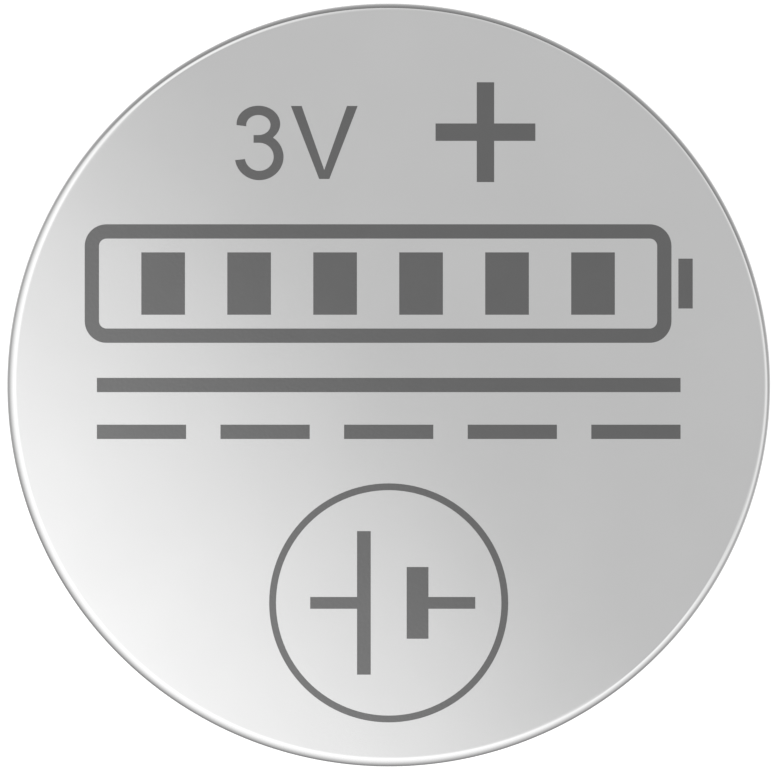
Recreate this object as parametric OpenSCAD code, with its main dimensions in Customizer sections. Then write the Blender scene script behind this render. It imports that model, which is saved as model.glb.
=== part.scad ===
// Lithium coin cell, 24.5 mm across and 5 mm high.
// A deep drawn steel can is the positive terminal. Its edge is rolled over a plastic gasket and
// holds a stepped steel cap, the negative terminal. Inside lie the lithium disc, the separator and
// the pressed oxide pellet in its steel ring, on a collector of expanded steel.
// The origin is the middle of the negative terminal's flat face. The positive face is on top.

/* [Cell] */
// Outside diameter of the can
cell_dia = 24.5; // [23.5:0.1:30]
// Height from the negative terminal's face to the positive face
cell_height = 5; // [4.4:0.1:8]

/* [Can] */
// Thickness of the can's sheet
can_wall = 0.25; // [0.2:0.01:0.32]
// Outside radius of the edge round the positive face
face_radius = 0.3; // [0.16:0.02:0.5]
// Inside radius between the can's wall and its floor
floor_radius = 0.15; // [0.05:0.01:0.25]
// Flat length of the lip beyond the rolled quarter bend
lip_length = 0.1; // [0.04:0.01:0.2]

/* [Gasket] */
// Space between can and cap that the gasket fills
gasket_wall = 0.3; // [0.2:0.01:0.4]
// Thickness of the foot between the cap's skirt and the can's floor
gasket_foot = 0.4; // [0.3:0.05:0.8]
// Thickness of the inner wall, inside the cap's skirt
gasket_inner = 0.3; // [0.2:0.02:0.4]
// Height of the inner wall above the foot
gasket_inner_height = 0.75; // [0.4:0.05:1.2]
// Width of the ring of gasket that shows between the rolled lip and the cap
bead_width = 0.25; // [0.2:0.01:0.4]
// How far that ring swells out past the gasket's own wall
bead_height = 0.12; // [0.06:0.01:0.18]
// Clearance between the gasket and the steel on each side
seal_gap = 0.02; // [0.01:0.01:0.03]

/* [Cap] */
// Thickness of the cap's sheet
cap_wall = 0.25; // [0.2:0.01:0.3]
// How far the negative terminal stands proud of the rolled edge
terminal_stand = 0.22; // [0.16:0.01:0.5]
// Outside radius round the negative terminal
terminal_radius = 0.4; // [0.3:0.01:0.45]
// Radius of the hollow bend at the foot of the step
step_radius = 0.2; // [0.1:0.01:0.22]
// Inside radius of the bend between the flange and the skirt
shoulder_radius = 0.2; // [0.1:0.01:0.35]

/* [Electrodes] */
// Clearance between the lithium disc and the bend round the terminal
lithium_gap = 0.7; // [0.1:0.1:2]
// Thickness of the lithium disc
lithium_thick = 1.2; // [1.05:0.05:1.6]
// Thickness of the separator
separator_thick = 0.2; // [0.1:0.02:0.3]
// Clearance between the separator's rim and the pellet
separator_gap = 0.35; // [0.2:0.05:0.5]
// Height of the separator's rim round the pellet
separator_rim = 0.8; // [0.3:0.1:1]
// Clearance between the pellet ring and the gasket's inner wall
ring_gap = 0.65; // [0.5:0.05:1.2]
// Clearance between the pellet and its ring
pellet_gap = 0.02; // [0.01:0.01:0.05]
// Thickness of the sheet of the pellet ring and the collector
ring_wall = 0.15; // [0.1:0.01:0.2]
// Height of the pellet ring
ring_height = 1.6; // [0.6:0.1:1.8]
// Width of the pellet ring's inturned foot
ring_foot = 1.2; // [0.6:0.1:2]

/* [Collector] */
// Clearance between the collector's edge and the ring's foot
collector_gap = 0.2; // [0.1:0.05:0.5]
// Solid width left round the collector's edge
collector_edge = 0.4; // [0.2:0.1:1]
// Width of one strand of the expanded sheet
strand = 0.3; // [0.2:0.02:0.4]
// Length of one diamond of the expanded sheet
diamond_long = 2.6; // [2.2:0.1:4]
// Height of one diamond of the expanded sheet
diamond_short = 1.5; // [1.3:0.1:2.4]

/* [Print] */
// Depth of the dark marks in the positive face
print_depth = 0.03; // [0.02:0.01:0.05]
// Size across the polarity cross
cross_size = 3.2; // [2:0.1:3.6]
// Width of the polarity cross's arms
cross_stroke = 0.56; // [0.3:0.02:0.8]
// Place of the polarity cross, right of the middle
cross_x = 3.1; // [2:0.1:4]
// Place of the polarity cross, above the middle
cross_y = 8.1; // [7.6:0.1:8.6]
// Length of the charge gauge without its nub
gauge_length = 18.8; // [16:0.1:19]
// Height of the charge gauge
gauge_height = 3.8; // [3.4:0.1:4]
// Height of the charge gauge's middle above the middle of the face
gauge_y = 3.25; // [2.9:0.05:3.5]
// Width of the charge gauge's outline
gauge_stroke = 0.46; // [0.3:0.02:0.6]
// Outside radius of the outline's corners
gauge_corner = 0.7; // [0.65:0.05:1.2]
// Number of blocks in the charge gauge
gauge_blocks = 6; // [3:1:8]
// Width of one block
block_width = 1.4; // [0.8:0.1:1.6]
// Height of one block
block_height = 2; // [1.2:0.1:2.4]
// Height of the nub at the gauge's end
nub_height = 1.6; // [1:0.1:2.4]
// Space between the outline and the nub
nub_space = 0.22; // [0.15:0.01:0.4]
// Length of the direct current sign
current_length = 18.7; // [15:0.1:20]
// Height of the direct current sign's middle against the middle of the face
current_y = -0.75; // [-1:0.05:-0.6]
// Distance between the two lines of the direct current sign
current_pitch = 1.5; // [1:0.1:1.8]
// Width of the two lines
current_stroke = 0.46; // [0.3:0.02:0.6]
// Number of dashes in the lower line
current_dashes = 5; // [3:1:8]
// Space between two dashes
dash_space = 1.1; // [0.5:0.1:1.5]
// Outside diameter of the round frame
frame_dia = 7.66; // [6:0.02:8]
// Width of the round frame's line
frame_stroke = 0.22; // [0.15:0.01:0.4]
// Distance of the round frame's middle below the middle of the face
frame_y = 6.98; // [6.8:0.02:7.2]
// Height of the long plate of the cell symbol
long_plate = 4.6; // [3:0.1:5]
// Width of the long plate
long_plate_width = 0.44; // [0.3:0.02:0.5]
// Height of the short plate
short_plate = 2.3; // [1.5:0.1:2.6]
// Width of the short plate
short_plate_width = 0.7; // [0.5:0.02:0.9]
// Space between the two plates
plate_space = 1.15; // [0.8:0.05:1.4]
// Length of each lead
lead_length = 1.5; // [0.8:0.1:1.6]
// Width of each lead
lead_width = 0.38; // [0.2:0.02:0.5]

/* [Hidden] */
$fn = 144;

// The bends of the rolled edge share one centre, each outside the last by a sheet or the gasket
can_r = cell_dia / 2;
bore_r = can_r - can_wall;
skirt_outer_r = bore_r - gasket_wall;
skirt_inner_r = skirt_outer_r - cap_wall;
shoulder_outer = shoulder_radius + cap_wall;
roll_inner = shoulder_outer + gasket_wall;
roll_outer = roll_inner + can_wall;
roll_r = can_r - roll_outer;
roll_z = terminal_stand + roll_outer;

// Heights, from the negative terminal up
flange_z = roll_z - shoulder_outer;
floor_z = cell_height - can_wall;
groove_z = floor_z - gasket_foot;
lithium_top = cap_wall + lithium_thick;
separator_top = lithium_top + separator_thick;
pellet_top = floor_z - ring_wall;

// Radii at the cap's step and at the gasket's bead
lip_r = roll_r - lip_length;
step_r = lip_r - bead_width;
terminal_bend = min(terminal_radius, flange_z - step_radius);
terminal_flat_r = step_r - terminal_bend;
bead_r = (bead_width - 2 * seal_gap) / 2;
bead_z = roll_z - roll_inner + seal_gap - bead_height + bead_r;

// Radii inside the gasket, from its inner wall to the middle
gasket_inner_r = skirt_inner_r - seal_gap - gasket_inner;
ring_outer_r = gasket_inner_r - ring_gap;
ring_inner_r = ring_outer_r - ring_wall;
pellet_r = ring_inner_r - pellet_gap;
foot_r = ring_outer_r - ring_foot;
collector_r = foot_r - collector_gap;
rim_inner_r = pellet_r + separator_gap;
rim_outer_r = rim_inner_r + separator_thick;
lithium_r = terminal_flat_r - lithium_gap;

// Half diagonals of one diamond of the expanded sheet, and of the hole that its strands leave
half_long = diamond_long / 2;
half_short = diamond_short / 2;
diamond_side = norm([half_long, half_short]);
hole_long = half_long - strand / 2 * diamond_side / half_short;
hole_short = half_short - strand / 2 * diamond_side / half_long;

// How far a cutting shape runs past what it cuts
cut_over = 1;

// A rectangle in the half section, from its inner lower corner to its outer upper corner
module span(r_from, z_from, r_to, z_to) {
    translate([r_from, z_from]) square([r_to - r_from, z_to - z_from]);
}

// A quarter of a round bend of a sheet, with its centre at r and z.
// side_r and side_z are 1 or -1 and say which quarter it is.
module quarter_bend(r, z, inner, outer, side_r, side_z) {
    translate([r, z])
        intersection() {
            difference() {
                circle(r = outer);
                circle(r = inner);
            }
            mirror([side_r < 0 ? 1 : 0, 0])
                mirror([0, side_z < 0 ? 1 : 0])
                    square(outer + cut_over);
        }
}

// A rectangle in the half section whose upper outer corner is round
module round_corner_span(r_to, z_from, z_to, radius) {
    span(0, z_from, r_to - radius, z_to);
    span(0, z_from, r_to, z_to - radius);
    translate([r_to - radius, z_to - radius]) circle(r = radius);
}

// The can: a cup with a round edge at the top, rolled in by a quarter turn at the bottom
module can_section() {
    difference() {
        round_corner_span(can_r, roll_z, cell_height, face_radius);
        round_corner_span(bore_r, roll_z - cut_over, floor_z, floor_radius);
    }
    quarter_bend(roll_r, roll_z, roll_inner, roll_outer, 1, -1);
    span(lip_r, roll_z - roll_outer, roll_r, roll_z - roll_inner);
}

module positive_can() {
    color("silver")
        difference() {
            rotate_extrude() can_section();
            translate([0, 0, cell_height - print_depth])
                linear_extrude(print_depth + cut_over) face_marks();
        }
}

// The cap: the flat terminal, its step, the flange under the rolled lip and the skirt
module cap_section() {
    step_end = flange_z - step_radius;
    bend_r = step_r + step_radius;
    span(0, 0, terminal_flat_r, cap_wall);
    quarter_bend(terminal_flat_r, terminal_bend, terminal_bend - cap_wall, terminal_bend, 1, -1);
    span(step_r - cap_wall, terminal_bend, step_r, step_end);
    quarter_bend(bend_r, step_end, step_radius, step_radius + cap_wall, -1, 1);
    span(bend_r, flange_z, roll_r, flange_z + cap_wall);
    quarter_bend(roll_r, roll_z, shoulder_radius, shoulder_outer, 1, -1);
    span(skirt_inner_r, roll_z, skirt_outer_r, groove_z);
}

module negative_cap() {
    color("silver") rotate_extrude() cap_section();
}

// The gasket: a foot with a groove for the skirt, an inner wall, an outer wall that follows the
// rolled edge, and a bead that shows between the lip and the cap
module gasket_section() {
    outer_r = bore_r - seal_gap;
    groove_in = skirt_inner_r - seal_gap;
    groove_out = skirt_outer_r + seal_gap;
    inner_end = groove_z - gasket_inner_height + gasket_inner / 2;
    lip_low = roll_z - roll_inner + seal_gap;
    lip_high = flange_z - seal_gap;
    lip_in = step_r + seal_gap;
    lip_bend = step_radius - seal_gap;

    // Foot and the two walls of the groove
    intersection() {
        span(gasket_inner_r, groove_z, outer_r, floor_z);
        round_corner_span(outer_r, groove_z - cut_over, floor_z, floor_radius);
    }
    span(groove_out, roll_z, outer_r, groove_z);
    span(gasket_inner_r, inner_end, groove_in, groove_z);
    translate([(gasket_inner_r + groove_in) / 2, inner_end]) circle(r = gasket_inner / 2);

    // Rolled part and the lip under the flange, rounded to the hollow bend of the step
    quarter_bend(roll_r, roll_z, shoulder_outer + seal_gap, roll_inner - seal_gap, 1, -1);
    span(lip_in + lip_bend, lip_low, roll_r, lip_high);
    intersection() {
        span(lip_in, lip_low, lip_in + lip_bend, lip_high);
        union() {
            translate([lip_in + lip_bend, lip_high - lip_bend]) circle(r = lip_bend);
            span(lip_in, lip_low, lip_in + lip_bend, lip_high - lip_bend);
        }
    }

    // Bead with a full round end
    span(lip_in, bead_z, lip_in + 2 * bead_r, lip_high - lip_bend);
    translate([lip_in + bead_r, bead_z]) circle(r = bead_r);
}

module gasket() {
    color("ivory") rotate_extrude() gasket_section();
}

// The lithium disc, pressed flat on the cap's inside
module lithium_anode() {
    color("lightsteelblue")
        translate([0, 0, cap_wall]) cylinder(h = lithium_thick, r = lithium_r);
}

// The separator: a shallow cup of nonwoven felt with its rim round the pellet
module separator() {
    color("white")
        rotate_extrude() {
            span(0, lithium_top, rim_outer_r, separator_top);
            span(rim_inner_r, lithium_top, rim_outer_r, separator_top + separator_rim);
        }
}

// The pressed manganese dioxide pellet
module cathode_pellet() {
    color("dimgray")
        translate([0, 0, separator_top]) cylinder(h = pellet_top - separator_top, r = pellet_r);
}

// The ring of L section that keeps the pellet's edge and rests on the can's floor
module pellet_ring() {
    color("gray")
        rotate_extrude() {
            span(foot_r, pellet_top, ring_outer_r, floor_z);
            span(ring_inner_r, floor_z - ring_height, ring_outer_r, floor_z);
        }
}

// The collector: a disc of expanded steel between the pellet and the can's floor
module collector_mesh() {
    reach = collector_r - collector_edge;
    columns = ceil(collector_r / diamond_long);
    rows = ceil(collector_r / half_short);
    color("gray")
        translate([0, 0, pellet_top])
            linear_extrude(floor_z - pellet_top)
                difference() {
                    circle(r = collector_r);
                    for (row = [-rows:rows], column = [-columns:columns]) {
                        x = column * diamond_long + (row % 2 == 0 ? 0 : half_long);
                        y = row * half_short;
                        if (norm([abs(x) + hole_long, abs(y)]) < reach
                            && norm([abs(x), abs(y) + hole_short]) < reach)
                            translate([x, y]) diamond_hole();
                    }
                }
}

module diamond_hole() {
    polygon([[hole_long, 0], [0, hole_short], [-hole_long, 0], [0, -hole_short]]);
}

// A centred rectangle with round corners
module rounded_box(w, h, radius) {
    square([w - 2 * radius, h], center = true);
    square([w, h - 2 * radius], center = true);
    for (x = [-1, 1], y = [-1, 1])
        translate([x * (w / 2 - radius), y * (h / 2 - radius)]) circle(r = radius);
}

module polarity_cross() {
    square([cross_size, cross_stroke], center = true);
    square([cross_stroke, cross_size], center = true);
}

// A charge gauge: a long outline with a nub at its end and a row of blocks inside
module charge_gauge() {
    nub_width = gauge_stroke;
    inside_length = gauge_length - 2 * gauge_stroke;
    block_space = (inside_length - gauge_blocks * block_width) / (gauge_blocks + 1);
    block_pitch = block_width + block_space;
    translate([-(nub_width + nub_space) / 2, 0]) {
        difference() {
            rounded_box(gauge_length, gauge_height, gauge_corner);
            rounded_box(inside_length, gauge_height - 2 * gauge_stroke,
                        gauge_corner - gauge_stroke);
        }
        for (i = [0:gauge_blocks - 1])
            translate([(i - (gauge_blocks - 1) / 2) * block_pitch, 0])
                square([block_width, block_height], center = true);
        translate([gauge_length / 2 + nub_space + nub_width / 2, 0])
            square([nub_width, nub_height], center = true);
    }
}

// The sign for direct current: a whole line above a broken one
module current_sign() {
    dash = (current_length - (current_dashes - 1) * dash_space) / current_dashes;
    translate([0, current_pitch / 2]) square([current_length, current_stroke], center = true);
    for (i = [0:current_dashes - 1])
        translate([(i - (current_dashes - 1) / 2) * (dash + dash_space), -current_pitch / 2])
            square([dash, current_stroke], center = true);
}

// A round frame round the symbol for one cell: a long thin plate, a short thick one and two leads
module framed_cell_symbol() {
    lead_from = plate_space / 2;
    difference() {
        circle(d = frame_dia);
        circle(d = frame_dia - 2 * frame_stroke);
    }
    translate([-lead_from - long_plate_width, -long_plate / 2])
        square([long_plate_width, long_plate]);
    translate([lead_from, -short_plate / 2]) square([short_plate_width, short_plate]);
    translate([-lead_from - long_plate_width - lead_length, -lead_width / 2])
        square([lead_length, lead_width]);
    translate([lead_from + short_plate_width, -lead_width / 2]) square([lead_length, lead_width]);
}

// All marks of the positive face, the same for the recess in the can and for the dark layer in it
module face_marks() {
    translate([cross_x, cross_y]) polarity_cross();
    translate([0, gauge_y]) charge_gauge();
    translate([0, current_y]) current_sign();
    translate([0, -frame_y]) framed_cell_symbol();
}

module face_print() {
    color("dimgray")
        translate([0, 0, cell_height - print_depth]) linear_extrude(print_depth) face_marks();
}

positive_can();
negative_cap();
gasket();
lithium_anode();
separator();
cathode_pellet();
pellet_ring();
collector_mesh();
face_print();
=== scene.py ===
import math

import bmesh
import bpy
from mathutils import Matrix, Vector, geometry


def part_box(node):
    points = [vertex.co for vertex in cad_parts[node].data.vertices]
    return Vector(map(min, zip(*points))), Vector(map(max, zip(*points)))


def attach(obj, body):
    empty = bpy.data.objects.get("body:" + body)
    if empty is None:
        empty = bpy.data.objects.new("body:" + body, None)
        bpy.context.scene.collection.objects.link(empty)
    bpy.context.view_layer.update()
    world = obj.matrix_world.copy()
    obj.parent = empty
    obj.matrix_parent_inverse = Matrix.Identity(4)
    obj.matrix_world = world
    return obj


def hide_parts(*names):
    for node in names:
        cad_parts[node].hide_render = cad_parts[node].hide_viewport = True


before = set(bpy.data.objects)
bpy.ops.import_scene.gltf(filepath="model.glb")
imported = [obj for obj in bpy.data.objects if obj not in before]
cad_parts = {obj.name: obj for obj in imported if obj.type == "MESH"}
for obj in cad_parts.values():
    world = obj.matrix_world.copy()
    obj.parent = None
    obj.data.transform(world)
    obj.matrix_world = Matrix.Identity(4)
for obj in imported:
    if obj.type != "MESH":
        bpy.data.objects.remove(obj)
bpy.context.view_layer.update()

# The stepped cap, the negative terminal. Nickel plated steel sheet, drawn in two steps, with a
# flange and a skirt. The cell stands on its flat face, and the can's rolled edge holds its flange.
mm = 0.001
TURNS = 360
ARC_STEPS = 14
SHARP_ANGLE = 35
turned_weld = 1e-8
cap_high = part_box("negative_cap")[1]
can_low, can_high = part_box("positive_can")
cap_sheet = 0.25 * mm
can_sheet = 0.25 * mm
gasket_space = 0.3 * mm
shoulder_inside = 0.2 * mm
shoulder_outside = shoulder_inside + cap_sheet
roll_inside = shoulder_outside + gasket_space
roll_outside = roll_inside + can_sheet
roll_r = can_high.x - roll_outside
roll_z = can_low.z + roll_outside
lip_flat = 0.1 * mm
lip_r = roll_r - lip_flat
bead_width = 0.25 * mm
step_r = lip_r - bead_width
terminal_bend = 0.4 * mm
step_bend = 0.2 * mm


def arc(x, y, radius, start, end, upright=None, steps=ARC_STEPS):
    """Points of a bend, from one angle to another in degrees. An oval has its own upright radius."""
    angles = [math.radians(start + (end - start) * i / steps) for i in range(steps + 1)]
    return [(x + radius * math.cos(a), y + (upright or radius) * math.sin(a)) for a in angles]


def turned(outline, closed=True):
    """A mesh that turns a half section round the cell's axis."""
    bm = bmesh.new()
    section = [bm.verts.new((r, 0, z)) for r, z in outline]
    pairs = list(zip(section, section[1:]))
    if closed:
        pairs.append((section[-1], section[0]))
    edges = [bm.edges.new(pair) for pair in pairs]
    bmesh.ops.spin(bm, geom=section + edges, cent=(0, 0, 0), axis=(0, 0, 1),
                   angle=math.tau, steps=TURNS, use_merge=True)
    bmesh.ops.remove_doubles(bm, verts=bm.verts, dist=turned_weld)
    bmesh.ops.recalc_face_normals(bm, faces=bm.faces)
    return bm


def new_piece(name, bm, node_slot, *stands_for):
    """Makes an object of the mesh, shades it smooth between sharp edges and puts it on the cell."""
    mesh = bpy.data.meshes.new(name)
    bm.to_mesh(mesh)
    bm.free()
    mesh.shade_smooth()
    mesh.set_sharp_from_angle(angle=math.radians(SHARP_ANGLE))
    piece = bpy.data.objects.new(name, mesh)
    bpy.context.scene.collection.objects.link(piece)
    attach(piece, "root")
    if stands_for:
        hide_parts(*stands_for)
    return piece


terminal_flat_r = step_r - terminal_bend
step_end = roll_z - shoulder_outside - step_bend
hollow_r = step_r + step_bend
cap_outline = (
    [(0, 0)]
    + arc(terminal_flat_r, terminal_bend, terminal_bend, -90, 0)
    + arc(hollow_r, step_end, step_bend, 180, 90)
    + arc(roll_r, roll_z, shoulder_outside, -90, 0)
    + [(cap_high.x, cap_high.z), (cap_high.x - cap_sheet, cap_high.z)]
    + arc(roll_r, roll_z, shoulder_inside, 0, -90)
    + arc(hollow_r, step_end, step_bend + cap_sheet, 90, 180)
    + arc(terminal_flat_r, terminal_bend, terminal_bend - cap_sheet, 0, -90)
    + [(0, cap_sheet)]
)
cap = new_piece("negative_cap_drawn", turned(cap_outline, closed=False), "cap_steel", "negative_cap")

# Fine grain and slow clouding, which most surfaces of the cell have in their own measure
GRAIN_DETAIL, CLOUD_DETAIL = 3, 4
grain_group = bpy.data.node_groups.new("grain and clouding", "ShaderNodeTree")
for label, kind in (("Grain Scale", "NodeSocketFloat"), ("Cloud Scale", "NodeSocketFloat"),
                    ("Stretch", "NodeSocketVector")):
    grain_group.interface.new_socket(label, in_out="INPUT", socket_type=kind)
for label in ("Grain", "Clouding"):
    grain_group.interface.new_socket(label, in_out="OUTPUT", socket_type="NodeSocketFloat")
group_nodes, group_links = grain_group.nodes, grain_group.links
group_in = group_nodes.new("NodeGroupInput")
group_out = group_nodes.new("NodeGroupOutput")
group_place = group_nodes.new("ShaderNodeTexCoord")
stretched = group_nodes.new("ShaderNodeVectorMath")
stretched.operation = "MULTIPLY"
group_links.new(group_place.outputs["Object"], stretched.inputs[0])
group_links.new(group_in.outputs["Stretch"], stretched.inputs[1])
for label, scale, detail, place in (
        ("Grain", "Grain Scale", GRAIN_DETAIL, stretched.outputs[0]),
        ("Clouding", "Cloud Scale", CLOUD_DETAIL, group_place.outputs["Object"])):
    noise = group_nodes.new("ShaderNodeTexNoise")
    noise.inputs["Detail"].default_value = detail
    group_links.new(place, noise.inputs["Vector"])
    group_links.new(group_in.outputs[scale], noise.inputs["Scale"])
    group_links.new(noise.outputs[0], group_out.inputs[label])


def bare_material(name, metallic):
    """A material before it has a finish."""
    material = bpy.data.materials.new(name)
    material.use_nodes = True
    material.node_tree.nodes["Principled BSDF"].inputs["Metallic"].default_value = metallic
    return material


def grained(material, grain_scale, cloud_scale=300, stretch=(1, 1, 1)):
    """Places grain and clouding in a material, in its own measure, and gives both."""
    grain = material.node_tree.nodes.new("ShaderNodeGroup")
    grain.node_tree = grain_group
    grain.inputs["Grain Scale"].default_value = grain_scale
    grain.inputs["Cloud Scale"].default_value = cloud_scale
    grain.inputs["Stretch"].default_value = stretch
    return grain.outputs["Grain"], grain.outputs["Clouding"]


def finish(material, pale, deep, tone_by, rough, rough_swing, relief, grain):
    """Gives a material two tones, a gloss that its grain moves, and grain as deep as the relief."""
    nodes, links = material.node_tree.nodes, material.node_tree.links
    shader = nodes["Principled BSDF"]
    tone = nodes.new("ShaderNodeMix")
    tone.data_type = "RGBA"
    tone.inputs["A"].default_value = (*deep, 1)
    tone.inputs["B"].default_value = (*pale, 1)
    links.new(tone_by, tone.inputs["Factor"])
    links.new(tone.outputs["Result"], shader.inputs["Base Color"])
    gloss = nodes.new("ShaderNodeMapRange")
    gloss.inputs["To Min"].default_value = rough - rough_swing
    gloss.inputs["To Max"].default_value = rough + rough_swing
    links.new(grain, gloss.inputs["Value"])
    links.new(gloss.outputs["Result"], shader.inputs["Roughness"])
    bump = nodes.new("ShaderNodeBump")
    bump.inputs["Distance"].default_value = relief
    links.new(grain, bump.inputs["Height"])
    links.new(bump.outputs["Normal"], shader.inputs["Normal"])


def dress(piece, material):
    """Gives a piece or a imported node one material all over."""
    piece.data.materials.clear()
    piece.data.materials.append(material)


# Drawing leaves fine upright lines on the walls, which are deeper than the grain of the flat faces
flat_relief, wall_relief = 0.0003 * mm, 0.0025 * mm
drawn_nickel = bare_material("drawn nickel", metallic=1)
draw_lines, nickel_clouding = grained(drawn_nickel, grain_scale=9000, stretch=(1, 1, 0.03))
finish(drawn_nickel, pale=(0.66, 0.66, 0.66), deep=(0.62, 0.62, 0.62), tone_by=nickel_clouding,
       rough=0.1, rough_swing=0.02, relief=flat_relief, grain=draw_lines)
nickel_nodes, nickel_links = drawn_nickel.node_tree.nodes, drawn_nickel.node_tree.links
facing = nickel_nodes.new("ShaderNodeTexCoord")
split = nickel_nodes.new("ShaderNodeSeparateXYZ")
flatness = nickel_nodes.new("ShaderNodeMath")
flatness.operation = "ABSOLUTE"
depth = nickel_nodes.new("ShaderNodeMapRange")
depth.inputs["To Min"].default_value = wall_relief
depth.inputs["To Max"].default_value = flat_relief
nickel_links.new(facing.outputs["Normal"], split.inputs[0])
nickel_links.new(split.outputs["Z"], flatness.inputs[0])
nickel_links.new(flatness.outputs[0], depth.inputs["Value"])
nickel_links.new(depth.outputs["Result"], nickel_nodes["Bump"].inputs["Distance"])
dress(cap, drawn_nickel)

# The lithium disc, a soft metal pressed flat on the inside of the cap. It dulls within minutes of
# being cut, so its sheen is patchy.
dull_lithium = bare_material("dull lithium", metallic=1)
lithium_grain, lithium_clouding = grained(dull_lithium, grain_scale=2500, cloud_scale=450)
finish(dull_lithium, pale=(0.66, 0.67, 0.69), deep=(0.3, 0.31, 0.34), tone_by=lithium_clouding,
       rough=0.45, rough_swing=0.1, relief=0.012 * mm, grain=lithium_grain)
dress(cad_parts["lithium_anode"], dull_lithium)

# The gasket, moulded in polypropylene. The rolled edge squeezes it on the cap's flange, and its
# bead shows as a narrow milky ring between the two.
gasket_low, gasket_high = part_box("gasket")
seal_gap = 0.02 * mm
inner_wall = 0.3 * mm
inner_depth = 0.75 * mm
floor_bend = 0.15 * mm
lip_low = roll_z - roll_inside + seal_gap
bead_round = bead_width / 2 - seal_gap
bead_r = step_r + seal_gap + bead_round
bead_z = gasket_low.z + bead_round
groove_in = cap_high.x - cap_sheet - seal_gap
groove_out = cap_high.x + seal_gap
wall_r = gasket_high.x
inner_round = inner_wall / 2
inner_end = cap_high.z - inner_depth + inner_round
gasket_outline = (
    arc(bead_r, bead_z, bead_round, -180, 0)
    + [(bead_r + bead_round, lip_low)]
    + arc(roll_r, roll_z, roll_inside - seal_gap, -90, 0)
    + arc(wall_r - floor_bend, gasket_high.z - floor_bend, floor_bend, 0, 90)
    + [(groove_in - inner_wall, gasket_high.z)]
    + arc(groove_in - inner_round, inner_end, inner_round, 180, 360)
    + [(groove_in, cap_high.z), (groove_out, cap_high.z)]
    + arc(roll_r, roll_z, shoulder_outside + seal_gap, 0, -90)
    + arc(hollow_r, step_end, step_bend - seal_gap, 90, 180)
)
gasket = new_piece("gasket_moulded", turned(gasket_outline), "gasket_plastic", "gasket")
milky_plastic = bare_material("milky polypropylene", metallic=0)
milky_grain, milky_clouding = grained(milky_plastic, grain_scale=6000, cloud_scale=500)
finish(milky_plastic, pale=(0.86, 0.855, 0.83), deep=(0.78, 0.775, 0.74), tone_by=milky_clouding,
       rough=0.4, rough_swing=0.06, relief=0.002 * mm, grain=milky_grain)
milky_shader = milky_plastic.node_tree.nodes["Principled BSDF"]
milky_shader.inputs["Subsurface Weight"].default_value = 0.3
milky_shader.inputs["Subsurface Radius"].default_value = (1, 0.9, 0.7)
milky_shader.inputs["Subsurface Scale"].default_value = 0.3 * mm
dress(gasket, milky_plastic)

# The separator, a shallow cup of nonwoven polypropylene felt laid between the lithium and the
# pellet. Its fibres lie every way and stand up a little between the flat bonded spots.
felt = bare_material("nonwoven felt", metallic=0)
felt_place = felt.node_tree.nodes.new("ShaderNodeTexCoord")
fibres = felt.node_tree.nodes.new("ShaderNodeTexNoise")
fibres.noise_type = "RIDGED_MULTIFRACTAL"
fibres.inputs["Scale"].default_value = 2200
fibres.inputs["Detail"].default_value = 4
fibres.inputs["Distortion"].default_value = 0.8
felt.node_tree.links.new(felt_place.outputs["Object"], fibres.inputs["Vector"])
finish(felt, pale=(0.82, 0.82, 0.8), deep=(0.55, 0.55, 0.53), tone_by=fibres.outputs[0],
       rough=0.85, rough_swing=0.1, relief=0.04 * mm, grain=fibres.outputs[0])
dress(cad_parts["separator"], felt)

# The pellet, a black disc of manganese dioxide powder and carbon. It is pressed hard in its steel
# ring, and the press leaves a dull and slightly open grain.
pressed_oxide = bare_material("pressed oxide", metallic=0)
oxide_grain = grained(pressed_oxide, grain_scale=6000)[0]
finish(pressed_oxide, pale=(0.09, 0.09, 0.092), deep=(0.02, 0.02, 0.021), tone_by=oxide_grain,
       rough=0.75, rough_swing=0.15, relief=0.02 * mm, grain=oxide_grain)
dress(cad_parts["cathode_pellet"], pressed_oxide)

# The pellet's ring and the collector, both of plain stainless sheet. The ring is pressed to an L
# section, the collector is slit and stretched to a mesh, and both rest against the can's floor.
plain_stainless = bare_material("plain stainless", metallic=1)
rolled_grain = grained(plain_stainless, grain_scale=9000, stretch=(0.05, 1, 1))[0]
finish(plain_stainless, pale=(0.6, 0.6, 0.58), deep=(0.5, 0.5, 0.48), tone_by=rolled_grain,
       rough=0.36, rough_swing=0.1, relief=0.002 * mm, grain=rolled_grain)
for node in ("pellet_ring", "collector_mesh"):
    dress(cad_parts[node], plain_stainless)

# The can, the positive terminal. Nickel plated steel sheet, deep drawn to a cup and rolled in at
# its open edge. Its flat face fills the photograph and takes the print in shallow recesses.
can_r = can_high.x
face_z = can_high.z
face_bend = 0.3 * mm
face_flat_r = can_r - face_bend
support_width = 0.04 * mm
support_r = face_flat_r - support_width
print_depth = 0.03 * mm
lip_edge = 0.03 * mm
bore_r = can_r - can_sheet
floor_z = face_z - can_sheet
mark_weld = 1e-7


def ring_points(x, y, radius, steps):
    """The outline of a round mark."""
    angles = [math.tau * i / steps for i in range(steps)]
    return [(x + radius * math.cos(a), y + radius * math.sin(a)) for a in angles]


def bar_points(x, y, width, height):
    """The outline of a bar, about its middle."""
    return [(x - width / 2, y - height / 2), (x + width / 2, y - height / 2),
            (x + width / 2, y + height / 2), (x - width / 2, y + height / 2)]


def round_bar_points(x, y, width, height, radius):
    """The outline of a bar with round corners."""
    points = []
    for turn, (side_x, side_y) in enumerate(((1, 1), (-1, 1), (-1, -1), (1, -1))):
        centre_x = x + side_x * (width / 2 - radius)
        centre_y = y + side_y * (height / 2 - radius)
        points += arc(centre_x, centre_y, radius, turn * 90, turn * 90 + 90)
    return points


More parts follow.
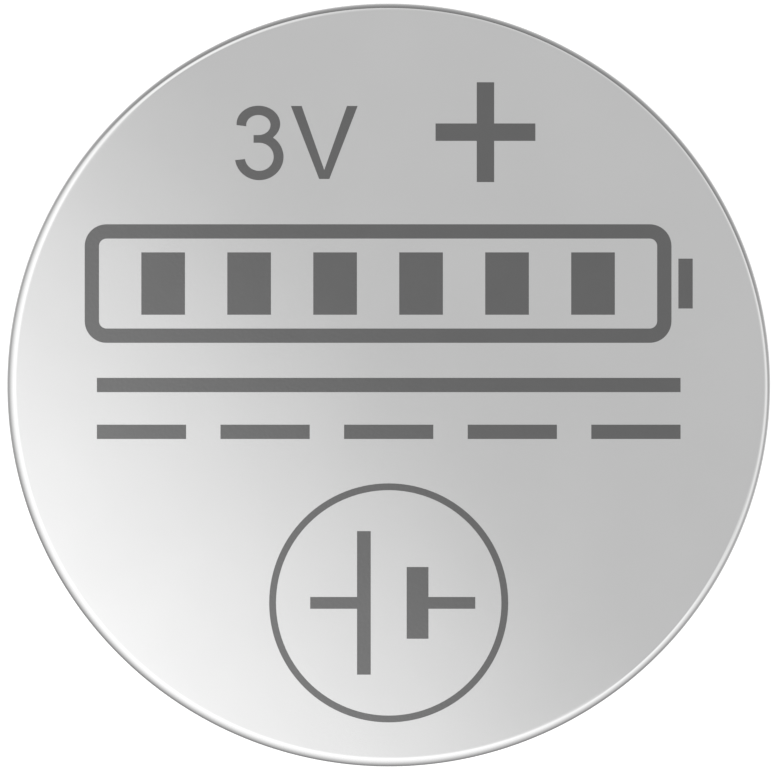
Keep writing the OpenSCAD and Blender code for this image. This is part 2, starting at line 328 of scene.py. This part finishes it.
def cross_points(x, y, size, stroke):
    """The outline of an upright cross."""
    a, b = size / 2, stroke / 2
    corners = [(b, b), (b, a), (-b, a), (-b, b), (-a, b), (-a, -b),
               (-b, -b), (-b, -a), (b, -a), (b, -b), (a, -b), (a, b)]
    return [(x + dx, y + dy) for dx, dy in corners]


def plate_points(x, y, width, height, lead, lead_width, side):
    """A plate of the cell symbol with its lead, which leaves to the side given as 1 or -1."""
    edge = x + side * width / 2
    back = x - side * width / 2
    return [(back, y - height / 2), (edge, y - height / 2), (edge, y - lead_width / 2),
            (edge + side * lead, y - lead_width / 2), (edge + side * lead, y + lead_width / 2),
            (edge, y + lead_width / 2), (edge, y + height / 2), (back, y + height / 2)]


# Charge gauge: a long outline, six blocks in it and a nub at its end
gauge_length, gauge_height, gauge_y = 18.8 * mm, 3.8 * mm, 3.25 * mm
gauge_stroke, gauge_corner = 0.46 * mm, 0.7 * mm
block_width, block_height, gauge_blocks = 1.4 * mm, 2.0 * mm, 6
nub_height, nub_space = 1.6 * mm, 0.22 * mm
gauge_x = -(gauge_stroke + nub_space) / 2
gauge_inside = gauge_length - 2 * gauge_stroke
block_pitch = block_width + (gauge_inside - gauge_blocks * block_width) / (gauge_blocks + 1)
blocks = [(bar_points(gauge_x + (i - (gauge_blocks - 1) / 2) * block_pitch, gauge_y,
                      block_width, block_height), [])
          for i in range(gauge_blocks)]
gauge = (round_bar_points(gauge_x, gauge_y, gauge_length, gauge_height, gauge_corner),
         [(round_bar_points(gauge_x, gauge_y, gauge_inside, gauge_height - 2 * gauge_stroke,
                            gauge_corner - gauge_stroke), blocks)])
nub = (bar_points(gauge_x + gauge_length / 2 + nub_space + gauge_stroke / 2, gauge_y,
                  gauge_stroke, nub_height), [])

# Sign for direct current: a whole line above a broken one
current_length, current_y, current_pitch = 18.7 * mm, -0.75 * mm, 1.5 * mm
current_stroke, current_dashes, dash_space = 0.46 * mm, 5, 1.1 * mm
dash = (current_length - (current_dashes - 1) * dash_space) / current_dashes
current_line = (bar_points(0, current_y + current_pitch / 2, current_length, current_stroke), [])
dashes = [(bar_points((i - (current_dashes - 1) / 2) * (dash + dash_space),
                      current_y - current_pitch / 2, dash, current_stroke), [])
          for i in range(current_dashes)]

# Round frame with the symbol for one cell: a long thin plate, a short thick one and their leads
frame_r, frame_stroke, frame_y = 3.83 * mm, 0.22 * mm, -6.98 * mm
frame_steps = 120
long_plate, long_width = 4.6 * mm, 0.44 * mm
short_plate, short_width = 2.3 * mm, 0.7 * mm
plate_space, lead_length, lead_width = 1.15 * mm, 1.5 * mm, 0.38 * mm
long_x = -(plate_space + long_width) / 2
short_x = (plate_space + short_width) / 2
plates = [(plate_points(x, frame_y, width, height, lead_length, lead_width, side), [])
          for x, width, height, side in ((long_x, long_width, long_plate, -1),
                                         (short_x, short_width, short_plate, 1))]
round_frame = (ring_points(0, frame_y, frame_r, frame_steps),
               [(ring_points(0, frame_y, frame_r - frame_stroke, frame_steps), plates)])

cross_x, cross_y, cross_size, cross_stroke = 3.1 * mm, 8.1 * mm, 3.2 * mm, 0.56 * mm
polarity_cross = (cross_points(cross_x, cross_y, cross_size, cross_stroke), [])
face_marks = [polarity_cross, gauge, nub, current_line, *dashes, round_frame]

# Voltage mark: the figure three of two oval bowls, and the letter for volts. A bowl has its middle
# and its two half widths.
figure_x = -4.16 * mm
upper_x, lower_x = figure_x - 0.015 * mm, figure_x + 0.012 * mm
upper_bowl = (upper_x, 8.366 * mm, 0.7 * mm, 0.583 * mm)
lower_bowl = (lower_x, 7.31 * mm, 0.78 * mm, 0.749 * mm)
upper_hollow = (upper_x, 8.328 * mm, 0.388 * mm, 0.32 * mm)
lower_hollow = (lower_x, 7.31 * mm, 0.462 * mm, 0.449 * mm)
upper_tip, lower_tip, upper_hollow_tip, lower_hollow_tip = 184, -172, 187, -171
waist_left = 0.17 * mm
bowl_steps = 60


def bowl_points(bowl, start, end, apart_from=None):
    """Points along an oval bowl, without those that fall inside the other bowl."""
    points = arc(*bowl[:3], start, end, bowl[3], bowl_steps)
    if apart_from is None:
        return points
    x, y, half_width, half_height = apart_from
    return [(px, py) for px, py in points
            if math.hypot((px - x) / half_width, (py - y) / half_height) > 1]


figure_three = (
    bowl_points(upper_bowl, upper_tip, -90, lower_bowl)
    + bowl_points(lower_bowl, 90, lower_tip, upper_bowl)
    + bowl_points(lower_hollow, lower_hollow_tip, 90)
    + [(figure_x - waist_left, lower_hollow[1] + lower_hollow[3]),
       (figure_x - waist_left, upper_hollow[1] - upper_hollow[3])]
    + bowl_points(upper_hollow, -90, upper_hollow_tip)
)
letter_left, letter_right, letter_middle = -3.134 * mm, -0.993 * mm, -2.065 * mm
letter_low, letter_fork, letter_high = 6.6 * mm, 6.892 * mm, 8.941 * mm
letter_arm, letter_foot = 0.345 * mm, 0.164 * mm
letter_volts = [
    (letter_left, letter_high), (letter_middle - letter_foot, letter_low),
    (letter_middle + letter_foot, letter_low), (letter_right, letter_high),
    (letter_right - letter_arm, letter_high), (letter_middle, letter_fork),
    (letter_left + letter_arm, letter_high),
]
voltage_marks = [(figure_three, []), (letter_volts, [])]


def flat_region(bm, outline, holes, z):
    """Fills an outline with holes in it by flat triangles at one height."""
    loops = [[Vector((x, y, z)) for x, y in loop] for loop in (outline, *holes)]
    verts = [bm.verts.new(point) for loop in loops for point in loop]
    for triangle in geometry.tessellate_polygon(loops):
        bm.faces.new([verts[i] for i in triangle])


def upright_wall(bm, loop, low, high):
    """Stands a wall on an outline, between two heights."""
    lower = [bm.verts.new((x, y, low)) for x, y in loop]
    upper = [bm.verts.new((x, y, high)) for x, y in loop]
    for i in range(len(loop)):
        bm.faces.new((lower[i - 1], lower[i], upper[i], upper[i - 1]))


def bare_metal(bm, outline, marks):
    """The can's face round its marks, a recess for each mark, and the bare islands inside them."""
    flat_region(bm, outline, [mark for mark, islands in marks], face_z)
    for mark, islands in marks:
        holes = [island for island, inner in islands]
        flat_region(bm, mark, holes, face_z - print_depth)
        for loop in (mark, *holes):
            upright_wall(bm, loop, face_z - print_depth, face_z)
        for island, inner in islands:
            bare_metal(bm, island, inner)


can_outline = (
    [(support_r, face_z)]
    + arc(face_flat_r, face_z - face_bend, face_bend, 90, 0)
    + arc(roll_r, roll_z, roll_outside, 0, -90)
    + arc(lip_r + lip_edge, can_low.z + lip_edge, lip_edge, -90, -180)
    + arc(lip_r + lip_edge, can_low.z + can_sheet - lip_edge, lip_edge, 180, 90)
    + arc(roll_r, roll_z, roll_inside, -90, 0)
    + arc(bore_r - floor_bend, floor_z - floor_bend, floor_bend, 0, 90)
    + [(0, floor_z)]
)
can_mesh = turned(can_outline, closed=False)
bare_metal(can_mesh, ring_points(0, 0, support_r, TURNS), face_marks + voltage_marks)
bmesh.ops.remove_doubles(can_mesh, verts=can_mesh.verts, dist=mark_weld)
bmesh.ops.recalc_face_normals(can_mesh, faces=can_mesh.faces)
can = new_piece("positive_can_drawn", can_mesh, "can_steel", "positive_can")
dress(can, drawn_nickel)

# The print, a thin dark layer burnt into the recesses of the face and flush with it. It is made of
# plain signs and simple shapes.
ink_depth = 0.9 * print_depth


def ink(bm, marks):
    """The dark layer of the marks and of those that stand on their bare islands."""
    for mark, islands in marks:
        holes = [island for island, inner in islands]
        flat_region(bm, mark, holes, face_z)
        flat_region(bm, mark, holes, face_z - ink_depth)
        for loop in (mark, *holes):
            upright_wall(bm, loop, face_z - ink_depth, face_z)
        for island, inner in islands:
            ink(bm, inner)


dark_print = bare_material("dark print", metallic=1)
print_grain, print_clouding = grained(dark_print, grain_scale=9000, cloud_scale=900)
finish(dark_print, pale=(0.166, 0.166, 0.166), deep=(0.152, 0.152, 0.152), tone_by=print_clouding,
       rough=0.14, rough_swing=0.02, relief=0.001 * mm, grain=print_grain)
for name, marks, stands_for in (("face_print_layer", face_marks, ("face_print",)),
                                ("voltage_mark", voltage_marks, ())):
    layer = bmesh.new()
    ink(layer, marks)
    bmesh.ops.remove_doubles(layer, verts=layer.verts, dist=mark_weld)
    bmesh.ops.recalc_face_normals(layer, faces=layer.faces)
    dress(new_piece(name, layer, "print", *stands_for), dark_print)

# The floor that the cell lies on, plain and pale. Reflections look through it to the tent's lower
# half, so that the cell's sides keep their tones wherever they stand.
floor_half = 0.6
floor_drop = 0.01 * mm
floor_tone, floor_rough, floor_glow = 0.62, 0.9, 0.6
floor_mesh = bpy.data.meshes.new("floor")
floor_corners = [(-floor_half, -floor_half, 0), (floor_half, -floor_half, 0),
                 (floor_half, floor_half, 0), (-floor_half, floor_half, 0)]
floor_mesh.from_pydata(floor_corners, [], [(0, 1, 2, 3)])
floor = bpy.data.objects.new("floor", floor_mesh)
floor.location.z = -floor_drop
bpy.context.scene.collection.objects.link(floor)


def grey(tone):
    """A colour without a hue."""
    return (tone, tone, tone, 1)


pale_floor = bare_material("pale floor", metallic=0)
floor_nodes, floor_links = pale_floor.node_tree.nodes, pale_floor.node_tree.links
lit_floor = floor_nodes["Principled BSDF"]
lit_floor.inputs["Base Color"].default_value = grey(floor_tone)
lit_floor.inputs["Roughness"].default_value = floor_rough
lit_floor.inputs["Specular IOR Level"].default_value = 0.0
lit_floor.inputs["Emission Color"].default_value = grey(1)
lit_floor.inputs["Emission Strength"].default_value = floor_glow
floor_ray = floor_nodes.new("ShaderNodeLightPath")
floor_side = floor_nodes.new("ShaderNodeNewGeometry")
passing = floor_nodes.new("ShaderNodeMath")
passing.operation = "MAXIMUM"
see_through = floor_nodes.new("ShaderNodeBsdfTransparent")
floor_or_not = floor_nodes.new("ShaderNodeMixShader")
floor_links.new(floor_side.outputs["Backfacing"], passing.inputs[0])
floor_links.new(floor_ray.outputs["Is Glossy Ray"], passing.inputs[1])
floor_links.new(passing.outputs[0], floor_or_not.inputs["Fac"])
floor_links.new(lit_floor.outputs[0], floor_or_not.inputs[1])
floor_links.new(see_through.outputs[0], floor_or_not.inputs[2])
floor_links.new(floor_or_not.outputs[0], floor_nodes["Material Output"].inputs["Surface"])
dress(floor, pale_floor)

# The light: a large soft tent, white to the camera. Straight up it brightens towards the lower left
# of the face. Lower down it is bright on that side and dimmer on the other, and a dark card stands
# beyond the top of the face.
BRIGHTEST = 1.7
STRAIGHT_DOWN = 180
flat_tone, full_tone = 0.784, 1.64
ramp_start, ramp_end = -0.0015, 0.127
bright_way = (-0.775, -0.632, 0)
dim_way = (0.775, 0.632, 0)
card_way = (0.26, 0.966, 0)
card_edge = (0.26, 0.966, -1.55)
# Tones down each side. A stop is an angle in degrees from straight up, and the tone there.
card_side = ((0, 0.25), (64, 0.25), (72, 0.33), (80, 0.39), (92, 0.43), (110, 0.58), (133, 0.76),
             (156, 0.95), (180, 0.7))
dim_side = ((0, 0.8), (36, 0.8), (48, 0.92), (61, 1.25), (76, 1.2), (92, 0.8), (110, 0.7),
            (180, 0.7))
bright_side = ((0, 1.4), (36, 1.53), (48, 1.42), (61, 1.22), (76, 0.98), (92, 0.76), (110, 0.53),
               (133, 0.33), (156, 0.28), (180, 0.7))
# Soft edges between the parts of the tent. The first two are angles, the others lengths along a
# way.
top_edge = (25 / STRAIGHT_DOWN, 38 / STRAIGHT_DOWN)
lower_edge = (91 / STRAIGHT_DOWN, 111 / STRAIGHT_DOWN)
bright_to_dim = (0.1, 0.7)
cloth_to_card = (0.1, 0.6)
over_card_edge = (-0.14, 0.14)
bright_to_card = (-0.7, -0.1)
studio = bpy.data.worlds.new("studio")
bpy.context.scene.world = studio
studio.use_nodes = True
tent_nodes, tent_links = studio.node_tree.nodes, studio.node_tree.links


def along(vector, way):
    """How far a vector runs along a way."""
    product = tent_nodes.new("ShaderNodeVectorMath")
    product.operation = "DOT_PRODUCT"
    product.inputs[1].default_value = way
    tent_links.new(vector, product.inputs[0])
    return product.outputs["Value"]


def ranged(value, low, high, new_low=0, new_high=1, kind="LINEAR"):
    """Maps a value from one range to another and holds it between the ends."""
    mapped = tent_nodes.new("ShaderNodeMapRange")
    mapped.interpolation_type = kind
    mapped.inputs["From Min"].default_value = low
    mapped.inputs["From Max"].default_value = high
    mapped.inputs["To Min"].default_value = new_low
    mapped.inputs["To Max"].default_value = new_high
    tent_links.new(value, mapped.inputs["Value"])
    return mapped.outputs["Result"]


def blended(value, edge, first, second, kind="SMOOTHSTEP"):
    """Goes from one tone to another while a value crosses an edge."""
    mix = tent_nodes.new("ShaderNodeMix")
    mix.data_type = "RGBA"
    tent_links.new(ranged(value, *edge, kind=kind), mix.inputs["Factor"])
    tent_links.new(first, mix.inputs["A"])
    tent_links.new(second, mix.inputs["B"])
    return mix.outputs["Result"]


def tent_side(turned_down, stops):
    """The tones down one side of the tent, given by angles from straight up."""
    ramp = tent_nodes.new("ShaderNodeValToRGB")
    ends = ramp.color_ramp.elements
    for end, (angle, tone) in zip(ends, (stops[0], stops[-1])):
        end.position = angle / STRAIGHT_DOWN
        end.color = grey(tone / BRIGHTEST)
    for angle, tone in stops[1:-1]:
        ends.new(angle / STRAIGHT_DOWN).color = grey(tone / BRIGHTEST)
    tent_links.new(turned_down, ramp.inputs["Fac"])
    return ramp.outputs["Color"]


way = tent_nodes.new("ShaderNodeTexCoord").outputs["Generated"]
angle_down = tent_nodes.new("ShaderNodeMath")
angle_down.operation = "ARCCOSINE"
tent_links.new(along(way, (0, 0, 1)), angle_down.inputs[0])
half_turn = ranged(angle_down.outputs[0], 0, math.pi)
level = tent_nodes.new("ShaderNodeVectorMath")
level.operation = "MULTIPLY"
level.inputs[1].default_value = (1, 1, 0)
tent_links.new(way, level.inputs[0])
compass = tent_nodes.new("ShaderNodeVectorMath")
compass.operation = "NORMALIZE"
tent_links.new(level.outputs[0], compass.inputs[0])
to_card = along(compass.outputs[0], card_way)
to_dim = along(compass.outputs[0], dim_way)
bright, dim, card = [tent_side(half_turn, stops) for stops in (bright_side, dim_side, card_side)]
cloth = blended(to_dim, bright_to_dim, bright, dim)
carded = blended(to_card, cloth_to_card, cloth, card)
upper = blended(along(way, card_edge), over_card_edge, cloth, carded)
lower = blended(to_card, bright_to_card, bright, card)
sides = blended(half_turn, lower_edge, upper, lower, kind="LINEAR")
top = ranged(along(way, bright_way), ramp_start, ramp_end,
             flat_tone / BRIGHTEST, full_tone / BRIGHTEST)
tent = blended(half_turn, top_edge, top, sides)
tent_ray = tent_nodes.new("ShaderNodeLightPath")
seen = tent_nodes.new("ShaderNodeMath")
seen.operation = "MAXIMUM"
tent_links.new(tent_ray.outputs["Is Camera Ray"], seen.inputs[0])
tent_links.new(tent_ray.outputs["Is Transmission Ray"], seen.inputs[1])
tent_or_white = tent_nodes.new("ShaderNodeMix")
tent_or_white.data_type = "RGBA"
tent_or_white.inputs["B"].default_value = grey(1 / BRIGHTEST)
tent_links.new(seen.outputs[0], tent_or_white.inputs["Factor"])
tent_links.new(tent, tent_or_white.inputs["A"])
tent_links.new(tent_or_white.outputs["Result"], tent_nodes["Background"].inputs["Color"])
tent_nodes["Background"].inputs["Strength"].default_value = BRIGHTEST

# The camera looks straight down on the face through a long lens, as in the photograph. The disc's
# middle and its radius in the photograph, in pixels, set the height and the small shift.
PHOTO_WIDTH, PHOTO_HEIGHT = 778, 775
DISC_X, DISC_Y, DISC_R = 388.7, 385.0, 381.4
camera_data = bpy.data.cameras.new("camera")
camera_data.sensor_width = 36
camera_data.lens = 170
camera_data.shift_x = -(DISC_X - PHOTO_WIDTH / 2) / PHOTO_WIDTH
camera_data.shift_y = (DISC_Y - PHOTO_HEIGHT / 2) / PHOTO_WIDTH
camera_data.clip_start = 1 * mm
camera_data.clip_end = 10
camera = bpy.data.objects.new("camera", camera_data)
view_width = can_r * PHOTO_WIDTH / DISC_R
camera_height = view_width * camera_data.lens / camera_data.sensor_width
camera.location.z = face_z - face_bend + camera_height
bpy.context.scene.collection.objects.link(camera)
bpy.context.scene.camera = camera
bpy.context.scene.view_settings.view_transform = "Standard"
